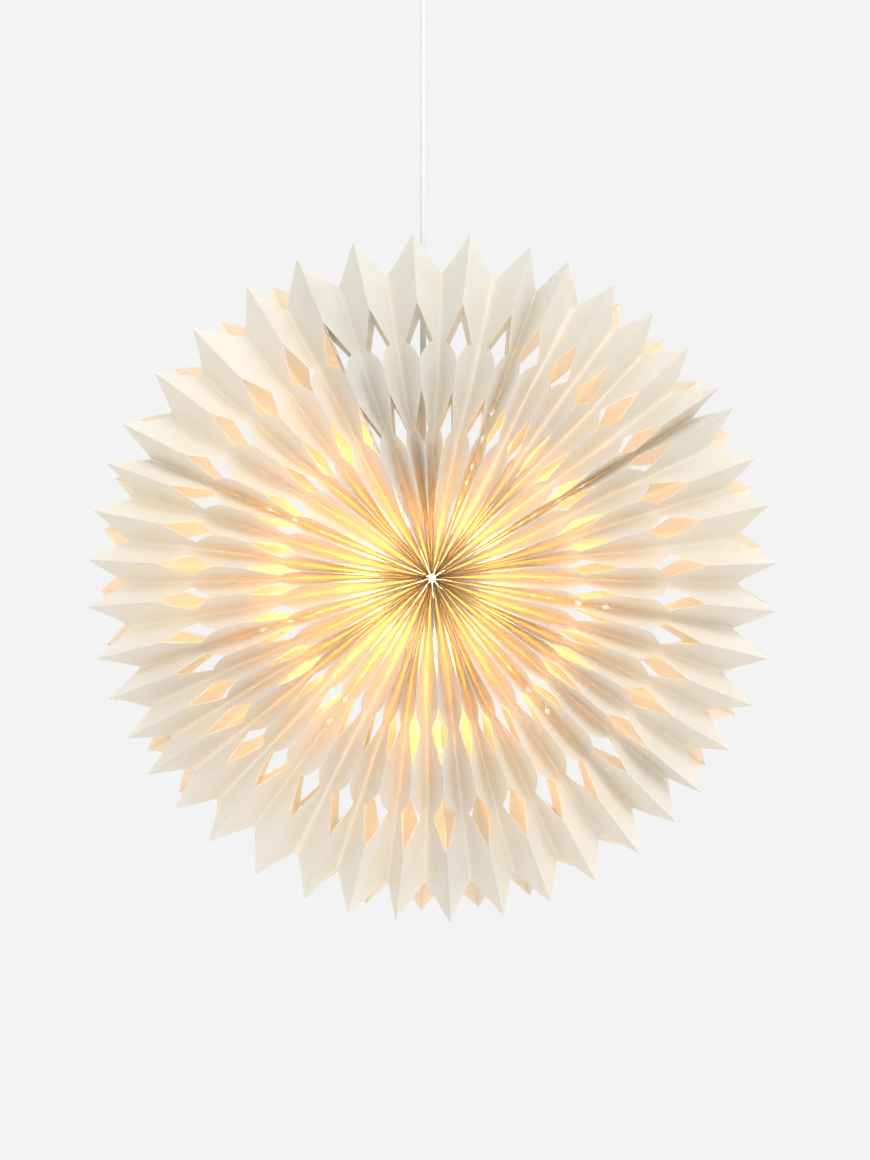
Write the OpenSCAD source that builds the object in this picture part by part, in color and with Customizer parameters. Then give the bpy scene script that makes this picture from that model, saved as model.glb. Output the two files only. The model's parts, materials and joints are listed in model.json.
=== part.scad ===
// Folding paper snowflake star with its pendant lamp.
// Nine pleated paper bags fan round a horizontal axis (Y). The front faces -Y.
// The origin is the middle of the ceiling plate's top face, and +Z is up.

/* [Star] */
// Radius from the star's axis to the tips
tip_r = 345; // [330:1:360]
// Depth of the star from front tips to rear tips
star_depth = 160; // [150:2:180]
// Depth of the clear space between the front and the rear pleats
cavity_depth = 60; // [56:1:64]
// Radius at which the valley folds end in the V between two tips
valley_end_r = 309; // [300:1:312]
// Radius where the packed pleats begin
pleat_start_r = 8; // [8:1:12]
// Radial distance from one ring of diamonds to the next
diamond_step = 88; // [86:1:88]
// Radius of the narrowest place of the outermost ring
neck_r = 240; // [238:1:242]
// Share of a pleat strip that stays at its narrowest place
neck_share = 0.36; // [0.25:0.01:0.4]
// Thickness of the paper with its coating
paper = 0.25; // [0.2:0.05:0.3]

/* [Leaves] */
// Radius where the glued leaves begin, round the lamp
leaf_in_r = 55; // [55:1:58]
// Radius where the glued leaves end
leaf_out_r = 298; // [290:1:300]
// Thickness of two leaves glued together, and of each stiff end leaf
leaf_t = 0.6; // [0.5:0.1:0.8]
// Diameter of the punched light holes
punch_d = 7; // [6:0.5:8]

/* [Lamp] */
// Distance of the star's axis below the ceiling
star_drop = 680; // [670:5:690]
// Sideways distance of the star's axis from the cord
star_shift = 9; // [0:1:10]
// Diameter of the bulb's ball
bulb_d = 45; // [40:1:46]
// Outer diameter of the lamp holder
holder_d = 28; // [28:0.5:29]
// Diameter of the round cord
cord_d = 6; // [5.5:0.1:6]

/* [Ceiling cup] */
// Diameter of the cup at the ceiling
cup_d = 92; // [90:1:100]
// Height of the cup
cup_h = 60; // [56:1:62]
// Distance between the two ceiling screws
screw_spacing = 60; // [58:1:62]
// Diameter of the screw holes in the ceiling plate
screw_hole_d = 4.5; // [4.5:0.1:5]

/* [Hidden] */
$fn = 64;
half_depth = star_depth / 2;
cavity_half = cavity_depth / 2;

// Clockwise angle from straight up of each glued pair of leaves, seen from the front
leaf_angles = [20, 58.5, 99.5, 139, 177, 215.5, 253, 293, 337, 380];
// Angle by which the tips of neighbouring bags stand apart at each of them
tip_gaps = [6.5, 4, 8, 8, 0, 9.5, 7, 7, 0, 6.5];
full_turn = 360;
punch_radii = [64, 80, 103, 120, 150, 178];
hook_hole_r = punch_radii[2];

// Pleats: four valleys to a bag, so eight strips and a flap at either side
strips = 8;
flap_gap = 0.15;
leaf_edge = cavity_half - 1.5;
flap_y = leaf_edge + 0.4;
// Each diamond's straight taper outwards from its neck, and its round shoulder inwards
taper = 37;
shoulder = 24;
shoulder_share = 0.82;
// Share of a strip cut away from its valley side halfway along a tip, and at the tip itself
tip_mid_r = (valley_end_r + tip_r) / 2 + 2;
tip_mid_cut = 0.48;
tip_cut = 0.97;
// Rings of the pleats as [radius, share kept beside the valley, share cut away at the valley]
function diamond_rings(neck) = [
    [neck - shoulder, 1, 0],
    [neck - shoulder / 2, shoulder_share, 0],
    [neck, neck_share, 0],
    [neck + taper, 1, 0]
];
rings = concat(
    [[pleat_start_r, 1, 0], [20, 1, 0]],
    [for (n = [2 : -1 : 0]) for (ring = diamond_rings(neck_r - n * diamond_step)) ring],
    [[valley_end_r, 1, 0], [tip_mid_r, 1, tip_mid_cut], [tip_r, 1, tip_cut]]
);
ring_count = len(rings);

// Lamp heights above the star's axis
ball_r = bulb_d / 2;
glass_t = 0.8;
glass_top = 31;
cap_top = 51;
contact_z = 55.5;
skirt_low = 30;
skirt_top = 66;
flange_z = 49;
flange_r = 17.5;
ring_low = 36;
ring_top = 46.2;
wire_d = 2.4;
hang_ring_r = holder_d / 2 + 0.3 + wire_d / 2;
hang_ring_z = flange_z - wire_d / 2 - 0.05;
cap_h = 22;
grip_low = skirt_top + cap_h - 2;
grip_len = 28;
exit_z = grip_low + grip_len;
grip_bore_r = cord_d / 2 + 0.9;
cord_in_grip = 3;

// The cord's route in the part's own frame, from the lamp to the ceiling
cord_end_z = -28;
cord_route = [
    [0, 0, exit_z - cord_in_grip - star_drop],
    [0, 0, -540], [0, 0, -500], [0, 0, -460], [0, 0, -420], [0, 0, -380], [0, 0, -340],
    [0, 0, -300], [0, 0, -260], [0, 0, -220], [0, 0, -180], [0, 0, -140], [0, 0, -100],
    [0, 0, -60], [0, 0, cord_end_z]
];
cord_sides = 12;
ring_spacing = 2.5 * cord_d;

paper_white = "#f4f0e4";
card_white = "#efe8d6";
plastic_white = "#f2f2f0";

// ---------- Pleated paper ----------

// Places in mm along a ring of radius r, from the leaf at which the bag starts: the bag's whole arc,
// and its first and last mountain fold
function cell_arc(cell, r) = r * (leaf_angles[cell] - leaf_angles[cell - 1]) * PI / 180;
function half_tip_gap(joint, r) = r * tip_gaps[joint] / 2 * PI / 180;
function first_fold(cell, r) = flap_gap + paper + half_tip_gap(cell - 1, r);
function last_fold(cell, r) = cell_arc(cell, r) - flap_gap - paper - half_tip_gap(cell, r);

// Depth-wise thickness of a strip of width h whose true thickness is the paper's
pleat_depth = half_depth - cavity_half;
function strip_rise(h) = min(0.6 * pleat_depth, paper * pleat_depth / h);

// Two points, outer and inner, at a share u of the way from valley to mountain on one strip
function strip_points(s_valley, s_mountain, rise, u) =
    let (s = s_valley + (s_mountain - s_valley) * u,
         outer = cavity_half + rise + (pleat_depth - rise) * u)
    [[s, outer], [s, outer - rise]];

// The same on a flap, which runs from the glued leaf to the bag's first or last mountain fold
function flap_points(s_fold, side, rise, u) =
    let (s_leaf = s_fold[0], s_top = s_fold[1])
    [[s_leaf + (s_top - s_leaf) * u, flap_y + (half_depth - flap_y) * u],
     [s_leaf + side * paper + (s_top - s_leaf) * u,
      flap_y + (half_depth - rise - flap_y) * u]];

// [tangential place, depth] of the four corners of one strip at one ring: valley outer, valley inner,
// mountain outer, mountain inner
function strip_corners(cell, strip, ring) =
    let (r = ring[0], kept = ring[1], cut = ring[2],
         a = first_fold(cell, r), b = last_fold(cell, r), h = (b - a) / strips,
         rise = strip_rise(h))
    strip == -1 ? concat(flap_points([flap_gap, a - paper], 1, rise, cut),
                         flap_points([flap_gap, a - paper], 1, rise, kept)) :
    strip == strips ? let (arc = cell_arc(cell, r))
                      concat(flap_points([arc - flap_gap, b + paper], -1, rise, cut),
                             flap_points([arc - flap_gap, b + paper], -1, rise, kept)) :
    let (odd = strip % 2, s_m = a + h * (strip + odd), s_v = a + h * (strip + 1 - odd))
    concat(strip_points(s_v, s_m, rise, cut), strip_points(s_v, s_m, rise, kept));

function on_ring(cell, r, place, face) =
    let (angle = leaf_angles[cell - 1] + place[0] / r * 180 / PI)
    [r * sin(angle), face * place[1], r * cos(angle)];

// Number of a corner in the point list. Strips that meet at an uncut fold share their corners.
function corner_id(ring, strip, side, surface) =
    let (shared = side == 1 ? rings[ring][1] == 1 : rings[ring][2] == 0,
         odd = (strip + 2) % 2,
         partner = side == 1 && strip >= strips - 1 ? strips : (odd == side ? strip : strip - 1),
         owner = !shared || (side == 0 && (strip == -1 || strip == strips)) ? strip : partner)
    ((ring * (strips + 2)) + owner + 1) * 4 + side * 2 + surface;

function quad(a, b, c, d, flip) = flip ? [[a, c, b], [a, d, c]] : [[a, b, c], [a, c, d]];

// Triangles of one strip between two neighbouring rings
function strip_faces(i, strip, face) =
    let (turn = ((strip + 2) % 2 == 0) != (face > 0),
         v0 = corner_id(i, strip, 0, 0), v1 = corner_id(i, strip, 0, 1),
         m0 = corner_id(i, strip, 1, 0), m1 = corner_id(i, strip, 1, 1),
         w0 = corner_id(i + 1, strip, 0, 0), w1 = corner_id(i + 1, strip, 0, 1),
         n0 = corner_id(i + 1, strip, 1, 0), n1 = corner_id(i + 1, strip, 1, 1),
         open_m = rings[i][1] < 1 || rings[i + 1][1] < 1,
         open_v = rings[i][2] > 0 || rings[i + 1][2] > 0 || strip == -1 || strip == strips)
    concat(
        quad(v0, m0, n0, w0, turn), quad(v1, w1, n1, m1, turn),
        open_m ? quad(m0, m1, n1, n0, turn) : [],
        open_v ? quad(v0, w0, w1, v1, turn) : [],
        i == 0 ? quad(v0, v1, m1, m0, turn) : [],
        i == ring_count - 2 ? quad(w0, n0, n1, w1, turn) : []
    );

// The pleated front (face -1) or rear (face 1) of one bag, notched into diamonds along its mountains
module pleats(cell, face) {
    points = [
        for (ring = rings) for (strip = [-1 : strips])
            for (place = strip_corners(cell, strip, ring)) on_ring(cell, ring[0], place, face)
    ];
    triangles = [
        for (i = [0 : ring_count - 2]) for (strip = [-1 : strips])
            for (t = strip_faces(i, strip, face)) t
    ];
    color(paper_white) at_star() polyhedron(points, triangles);
}

module at_star() {
    translate([star_shift, 0, -star_drop]) children();
}

module at_lamp() {
    translate([0, 0, -star_drop]) children();
}

// ---------- Glued leaves between the bags ----------

// A flat radial leaf with its row of punched holes, offset sideways from its radial plane
module leaf(angle, offset_x, in_r, shade) {
    color(shade) at_star() rotate([0, angle, 0]) difference() {
        translate([offset_x - leaf_t / 2, -leaf_edge, in_r])
            cube([leaf_t, 2 * leaf_edge, leaf_out_r - in_r]);
        for (r = punch_radii) if (r > in_r + punch_d) translate([offset_x, 0, r]) rotate([0, 90, 0])
            cylinder(d = punch_d, h = 3 * leaf_t, center = true);
    }
}

module glued_leaf(n) leaf(leaf_angles[n - 1], 0, leaf_in_r, paper_white);

// The end leaves start further out, clear of the hanger's left arm
end_leaf_in_r = 86;
pad_t = 0.5;
pad_d = 16;
pad_gap = 0.2;
pad_radii = [205, 240, 275];
seam_angle = leaf_angles[8];
end_leaf_x = pad_gap / 2 + pad_t + leaf_t / 2;

module end_leaf_left() leaf(seam_angle, -end_leaf_x, end_leaf_in_r, card_white);
module end_leaf_right() leaf(seam_angle, end_leaf_x, end_leaf_in_r, card_white);

module seam_pads(side) {
    at_star() rotate([0, seam_angle, 0]) for (r = pad_radii)
        translate([side * (pad_gap + pad_t) / 2, 0, r]) rotate([0, 90, 0])
            cylinder(d = pad_d, h = pad_t, center = true);
}
module seam_hook_pads() { color("#e8e6e0") seam_pads(-1); }
module seam_loop_pads() { color("#f4f3ef") seam_pads(1); }

// ---------- Wire hanger between the lamp holder and the star ----------

hanger_wire_d = 2;
// Each arm rises past the holder's flange this far from the cord
arm_x = flange_r + 1.5;
// The pegs start this far inside the top bag. The right one passes through its leaf, and the left one
// ends in the hole of the right end leaf, clear of the left end leaf.
peg_in = 10;
right_peg_out = 3;
left_peg_out = -0.8;

function hook_hole(angle) = [star_shift + hook_hole_r * sin(angle), hook_hole_r * cos(angle)];
function beside(point, angle, d) = [point[0] + d * cos(angle), point[1] - d * sin(angle)];

// A straight wire between two [x, z] points in the plane y = 0, with a bead at its far end
module wire(a, b) {
    run = b - a;
    translate([a[0], 0, a[1]]) rotate([0, atan2(run[0], run[1]), 0])
        cylinder(d = hanger_wire_d, h = norm(run), $fn = 24);
    translate([b[0], 0, b[1]]) sphere(d = hanger_wire_d + 0.5, $fn = 24);
}

module hanger_arm(angle, side, peg_out) {
    hole = hook_hole(angle);
    knee = [side * arm_x, hang_ring_z];
    inner = beside(hole, angle, -side * peg_in);
    wire([side * hang_ring_r, hang_ring_z], knee);
    wire(knee, inner);
    wire(inner, beside(hole, angle, side * peg_out));
}

module star_hanger() {
    color("#cfcfcf") at_lamp() {
        translate([0, 0, hang_ring_z]) rotate_extrude() translate([hang_ring_r, 0])
            circle(d = wire_d, $fn = 24);
        hanger_arm(leaf_angles[0], 1, right_peg_out);
        hanger_arm(seam_angle - full_turn, -1, left_peg_out);
    }
}

// ---------- Lamp holder ----------

skirt_t = 1.8;
thread_clear_r = 7.2;
insert_r = holder_d / 2 - skirt_t - 0.1;

module holder_skirt() {
    color(plastic_white) at_lamp() {
        difference() {
            union() {
                translate([0, 0, skirt_low]) cylinder(d = holder_d, h = skirt_top - skirt_low);
                translate([0, 0, flange_z]) cylinder(r = flange_r, h = 2);
                // Coarse thread ribs that the shade ring climbs
                for (z = [skirt_low + 2 : 2.5 : ring_low - 1]) translate([0, 0, z])
                    cylinder(d = holder_d + 0.8, h = 1);
            }
            translate([0, 0, skirt_low - 1])
                cylinder(r = insert_r + 0.1, h = skirt_top - skirt_low + 2);
        }
    }
}

module shade_ring() {
    inner_r = holder_d / 2 + 0.55;
    grip_ribs = 24;
    color(plastic_white) at_lamp() difference() {
        union() {
            translate([0, 0, ring_low]) cylinder(r = inner_r + 3, h = ring_top - ring_low);
            translate([0, 0, ring_top - 2.5]) cylinder(r = 22, h = 2.5);
            for (a = [0 : full_turn / grip_ribs : full_turn - 1]) rotate([0, 0, a])
                translate([inner_r + 2.6, -0.6, ring_low]) cube([1.2, 1.2, 6]);
        }
        translate([0, 0, ring_low - 1]) cylinder(r = inner_r, h = ring_top - ring_low + 2);
    }
}

module holder_insert() {
    color("#e9e4da") at_lamp() difference() {
        translate([0, 0, skirt_low + 2]) cylinder(r = insert_r, h = skirt_top - skirt_low - 6);
        translate([0, 0, skirt_low]) cylinder(r = thread_clear_r + 0.75, h = contact_z - skirt_low + 2.5);
        for (x = [-6, 6]) translate([x, 0, contact_z]) cylinder(d = 3, h = 20, $fn = 24);
    }
}

module thread_shell() {
    color("#c8a24a") at_lamp() difference() {
        translate([0, 0, skirt_low + 4]) cylinder(r = thread_clear_r + 0.65, h = 20);
        translate([0, 0, skirt_low + 3]) cylinder(r = thread_clear_r + 0.15, h = 22);
    }
}

module centre_contact() {
    color("#c8a24a") at_lamp() {
        translate([0, 0, contact_z + 0.3]) cylinder(d = 5, h = 0.6, $fn = 32);
        translate([-1.25, -1.25, contact_z + 0.8]) cube([2.5, 2.5, 1.6]);
    }
}

// Height of the grip screw above the skirt, and its shank's diameter
grip_screw_z = 5;
grip_screw_d = 3;
cap_gap = 0.2;

module holder_cap() {
    r = holder_d / 2;
    color(plastic_white) at_lamp() translate([0, 0, skirt_top + cap_gap]) difference() {
        rotate_extrude() polygon([
            [0, 0], [r, 0], [r, cap_h - 12],
            for (a = [0 : 10 : 60]) [r - 6 + 6 * cos(a), cap_h - 12 + 6 * sin(a)],
            [grip_bore_r + 4.4, cap_h], [0, cap_h]
        ]);
        translate([0, 0, -1]) cylinder(r = r - skirt_t, h = cap_h - 9);
        translate([0, 0, cap_h - 14]) cylinder(r = grip_bore_r + 3.9, h = 16);
        translate([-r, 0, grip_screw_z - cap_gap]) rotate([0, 90, 0])
            cylinder(d = grip_screw_d + 0.2, h = 6, center = true, $fn = 24);
    }
}

module cord_grip() {
    top_r = grip_bore_r + 1.3;
    color(plastic_white) at_lamp() translate([0, 0, grip_low]) difference() {
        union() {
            cylinder(r = grip_bore_r + 3.7, h = 2.5);
            translate([0, 0, 2.5]) cylinder(r1 = grip_bore_r + 3.2, r2 = top_r, h = grip_len - 2.5);
        }
        translate([0, 0, -1]) cylinder(r = grip_bore_r, h = grip_len + 2);
        for (z = [7 : 4 : 23]) translate([0, 0, z]) difference() {
            cylinder(r = 12, h = 1.4);
            translate([0, 0, -1]) cylinder(r = grip_bore_r + 0.8, h = 4);
        }
    }
}

module grip_screw() {
    color("#b8b8b8") at_lamp() translate([-holder_d / 2 + 1.1, 0, skirt_top + grip_screw_z])
        rotate([0, -90, 0]) difference() {
            union() {
                cylinder(d = grip_screw_d, h = 1.6, $fn = 24);
                translate([0, 0, 1.2]) cylinder(d = 5, h = 1.2, $fn = 32);
            }
            translate([-3, -0.4, 1.8]) cube([6, 0.8, 2]);
        }
}

// ---------- Bulb ----------

neck_top_r = 6.2;

// The bulb's outline from the bottom of the ball to the neck, moved inwards by d
function bulb_outline(d) = concat(
    [for (a = [-90 : 6 : 48]) [(ball_r - d) * cos(a), (ball_r - d) * sin(a)]],
    [[10.2 - d, 22.5], [8 - d, 26.5], [neck_top_r - d, glass_top]]
);

module bulb_glass() {
    outer = bulb_outline(0);
    inner = bulb_outline(glass_t);
    color("#fff6e0") at_lamp() rotate_extrude()
        polygon(concat(outer, [for (i = [len(inner) - 1 : -1 : 0]) inner[i]]));
}

module bulb_cap() {
    r = thread_clear_r - 0.5;
    turns = 5;
    step = 2.8;
    color("#c9c9c4") at_lamp() difference() {
        union() {
            translate([0, 0, glass_top + 0.1]) cylinder(r = r - 0.2, h = cap_top - glass_top - 0.1);
            for (n = [0 : turns - 1]) translate([0, 0, glass_top + 5 + n * step])
                rotate_extrude() translate([r - 0.5, 0]) circle(r = 0.75, $fn = 24);
            translate([0, 0, glass_top - 3]) difference() {
                cylinder(r1 = 9.3, r2 = r - 0.2, h = 4);
                translate([0, 0, -0.02]) cylinder(r1 = 8.9, r2 = neck_top_r + 0.1, h = 3.1);
            }
        }
        translate([0, 0, glass_top - 1]) cylinder(r = 5.8, h = cap_top - glass_top + 2);
    }
}

module bulb_insulator() {
    color("#2a2a2a") at_lamp() translate([0, 0, cap_top])
        cylinder(r1 = 6, r2 = 2.4, h = contact_z - cap_top - 1);
}

module bulb_contact() {
    color("#c9c9c4") at_lamp() translate([0, 0, contact_z - 1]) cylinder(r = 2.2, h = 1, $fn = 32);
}

module bulb_stem() {
    color("#f4f4ee") at_lamp() translate([0, 0, 9]) union() {
        cylinder(r1 = 1.6, r2 = 2.2, h = 14, $fn = 32);
        translate([0, 0, 14]) cylinder(r1 = 2.2, r2 = 5, h = 8, $fn = 32);
    }
}

module filament() {
    rod_r = 0.9;
    spread = 7;
    color("#ffd27a") at_lamp() for (a = [45 : 90 : 315]) rotate([0, 0, a])
        translate([spread, 0, -9]) rotate([0, -8, 0]) cylinder(r = rod_r, h = 24, $fn = 24);
}

// ---------- Cord and ceiling fitting ----------

// Rings of the tube at most ring_spacing apart along the straight runs of the route
function resample(route) = [
    for (i = [0 : len(route) - 2])
        let (run = route[i + 1] - route[i], n = max(1, ceil(norm(run) / (2.5 * ring_spacing))))
        for (k = [0 : n - 1]) route[i] + run * k / n,
    route[len(route) - 1]
];

// A closed round tube of radius r along a route that climbs along Z
module tube(route, r, sides) {
    centres = resample(route);
    count = len(centres);
    points = [
        for (c = centres) for (k = [0 : sides - 1])
            c + [r * cos(360 * k / sides), r * sin(360 * k / sides), 0]
    ];
    walls = [
        for (i = [0 : count - 2]) for (k = [0 : sides - 1])
            let (a = i * sides + k, b = i * sides + (k + 1) % sides)
            [a, a + sides, b + sides, b]
    ];
    bottom = [for (k = [0 : sides - 1]) k];
    top = [for (k = [sides - 1 : -1 : 0]) (count - 1) * sides + k];
    polyhedron(points, concat(walls, [bottom, top]));
}

module cord() {
    color("#f0f0f0") tube(cord_route, cord_d / 2, cord_sides);
}

cup_t = 1.6;
cup_low_r = 30;
grommet_r = 6.5;
cup_top_z = -0.5;

module ceiling_cup() {
    top_r = cup_d / 2;
    low = cup_top_z - cup_h;
    color(plastic_white) rotate_extrude() polygon([
        [top_r, cup_top_z], [cup_low_r, low + 8],
        for (a = [10 : 20 : 90]) [cup_low_r - 8 + 8 * cos(a), low + 8 - 8 * sin(a)],
        [grommet_r, low], [grommet_r, low + cup_t], [cup_low_r - 8, low + cup_t],
        for (a = [90 : -20 : 10])
            [cup_low_r - 8 + (8 - cup_t) * cos(a), low + 8 - (8 - cup_t) * sin(a)],
        [cup_low_r - cup_t, low + 8], [top_r - cup_t, cup_top_z]
    ]);
}

module cup_grommet() {
    low = cup_top_z - cup_h;
    bore_r = cord_d / 2 + 0.15;
    color(plastic_white) translate([0, 0, low]) rotate_extrude() polygon([
        [bore_r, -4], [grommet_r - 1, -4], [grommet_r + 1.5, -0.1], [grommet_r - 0.1, -0.1],
        [grommet_r - 0.1, cup_t + 0.1], [grommet_r + 1.5, cup_t + 0.1], [grommet_r + 1, 4], [bore_r, 4]
    ]);
}

plate_t = 1.5;
plate_w = 20;
plate_l = 78;

module ceiling_plate() {
    color("#c4c6c8") difference() {
        union() {
            translate([-plate_l / 2 + plate_w / 2, -plate_w / 2, -plate_t])
                cube([plate_l - plate_w, plate_w, plate_t]);
            for (x = [-1, 1]) translate([x * (plate_l - plate_w) / 2, 0, -plate_t])
                cylinder(d = plate_w, h = plate_t);
        }
        for (x = [-1, 1]) translate([x * screw_spacing / 2, 0, -plate_t - 1])
            cylinder(d = screw_hole_d, h = plate_t + 2);
    }
}

module pan_screw(shank_d, shank_l, head_d, head_h) {
    difference() {
        union() {
            cylinder(d = shank_d, h = shank_l, $fn = 32);
            translate([0, 0, -head_h]) cylinder(d = head_d, h = head_h, $fn = 32);
        }
        for (a = [0, 90]) rotate([0, 0, a]) translate([-head_d / 3, -0.4, -head_h - 1])
            cube([head_d / 1.5, 0.8, 1.8]);
    }
}

clamp_top = -18;
clamp_low = -34;

module cord_clamp() {
    color(plastic_white) difference() {
        union() {
            translate([-9, -8, clamp_low]) cube([18, 16, clamp_top - clamp_low]);
            for (x = [-1, 1]) translate([x * 8 - 1, -6, clamp_top]) cube([2, 12, -clamp_top - plate_t]);
        }
        translate([0, 0, clamp_low - 1]) cylinder(r = cord_d / 2 + 0.15, h = 30);
        for (y = [-1, 1]) translate([y * 6, 0, clamp_low + 8]) rotate([90, 0, 0])
            cylinder(d = 2.4, h = 30, center = true, $fn = 24);
    }
}

module clamp_screws() {
    color("#b9bbbd") for (x = [-1, 1]) translate([x * 6, -8, clamp_low + 8]) rotate([-90, 0, 0])
        pan_screw(2.2, 12, 4.2, 1.6);
}

block = [11, 10, 12];
block_x = 16;
terminal_x = [3, 8];

module terminal_block() {
    color("#f5f5f5") translate([block_x, 0, -plate_t - block[2]]) difference() {
        translate([0, -block[1] / 2, 0]) cube(block);
        for (x = terminal_x) {
            translate([x, 0, 5]) rotate([90, 0, 0]) cylinder(d = 2.6, h = 30, center = true, $fn = 24);
            translate([x, 0, -1]) cylinder(d = 2.4, h = 5, $fn = 24);
        }
    }
}

module terminal_screws() {
    color("#b9bbbd") for (x = terminal_x) translate([block_x + x, 0, -plate_t - block[2] + 0.5])
        cylinder(d = 2.2, h = 2.8, $fn = 24);
}

// ---------- One line for each node ----------

glued_leaf(1);  // leaf_1
glued_leaf(2);  // leaf_2
glued_leaf(3);  // leaf_3
glued_leaf(4);  // leaf_4
glued_leaf(5);  // leaf_5
glued_leaf(6);  // leaf_6
glued_leaf(7);  // leaf_7
glued_leaf(8);  // leaf_8
end_leaf_left();
end_leaf_right();
seam_hook_pads();
seam_loop_pads();
pleats(1, -1);  // front_pleats_1
pleats(2, -1);  // front_pleats_2
pleats(3, -1);  // front_pleats_3
pleats(4, -1);  // front_pleats_4
pleats(5, -1);  // front_pleats_5
pleats(6, -1);  // front_pleats_6
pleats(7, -1);  // front_pleats_7
pleats(8, -1);  // front_pleats_8
pleats(9, -1);  // front_pleats_9
pleats(1, 1);  // rear_pleats_1
pleats(2, 1);  // rear_pleats_2
pleats(3, 1);  // rear_pleats_3
pleats(4, 1);  // rear_pleats_4
pleats(5, 1);  // rear_pleats_5
pleats(6, 1);  // rear_pleats_6
pleats(7, 1);  // rear_pleats_7
pleats(8, 1);  // rear_pleats_8
pleats(9, 1);  // rear_pleats_9
star_hanger();
shade_ring();
holder_skirt();
holder_insert();
thread_shell();
centre_contact();
holder_cap();
cord_grip();
grip_screw();
bulb_glass();
bulb_cap();
bulb_insulator();
bulb_contact();
bulb_stem();
filament();
cord();
ceiling_cup();
cup_grommet();
ceiling_plate();
cord_clamp();
clamp_screws();
terminal_block();
terminal_screws();
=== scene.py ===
"""A pleated paper star and its pendant lamp: the looks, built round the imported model.

The star is nine pleated paper bags fanned into a ring round a warm lamp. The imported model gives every
place and size: where the leaves between the bags stand, how deep the pleats are, where the lamp hangs.
This script lays the folded paper over that frame and gives every piece its finish.
"""

import enum
import json
import logging
import math
import random
from dataclasses import dataclass, field

import bpy
import numpy as np
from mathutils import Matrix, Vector


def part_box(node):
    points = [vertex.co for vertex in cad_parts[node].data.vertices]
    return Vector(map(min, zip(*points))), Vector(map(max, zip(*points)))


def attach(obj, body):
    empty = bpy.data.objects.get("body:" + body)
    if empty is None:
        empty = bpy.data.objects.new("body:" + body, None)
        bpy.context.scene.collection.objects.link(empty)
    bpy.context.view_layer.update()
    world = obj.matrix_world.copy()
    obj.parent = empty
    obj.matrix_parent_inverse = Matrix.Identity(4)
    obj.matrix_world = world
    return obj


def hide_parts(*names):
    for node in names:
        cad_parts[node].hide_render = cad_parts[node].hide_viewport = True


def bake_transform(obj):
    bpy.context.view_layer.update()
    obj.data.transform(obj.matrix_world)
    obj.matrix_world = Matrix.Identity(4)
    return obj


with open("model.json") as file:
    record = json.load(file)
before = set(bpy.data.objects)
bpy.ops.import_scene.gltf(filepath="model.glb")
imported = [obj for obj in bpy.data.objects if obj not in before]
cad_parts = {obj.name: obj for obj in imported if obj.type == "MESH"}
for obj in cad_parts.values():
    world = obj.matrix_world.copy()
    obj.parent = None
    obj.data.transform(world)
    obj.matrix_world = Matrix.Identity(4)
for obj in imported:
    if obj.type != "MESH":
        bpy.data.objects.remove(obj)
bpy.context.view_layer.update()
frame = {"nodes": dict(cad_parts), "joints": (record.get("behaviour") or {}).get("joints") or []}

log = logging.getLogger("paper_star")

Colour = tuple[float, float, float]
Triple = tuple[float, float, float]
Span = tuple[float, float]

WHOLE: Span = (0.0, 1.0)
NOISE_SPAN: Span = (0.3, 0.7)  # nearly all of a noise pattern's values lie here


# ---------- Shader building ----------


@dataclass(frozen=True)
class Grain:
    """A noise pattern: how many cells fit in a metre, how many finer layers lie on it, and their strength."""

    scale: float
    detail: float = 4.0
    rough: float = 0.6


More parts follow.
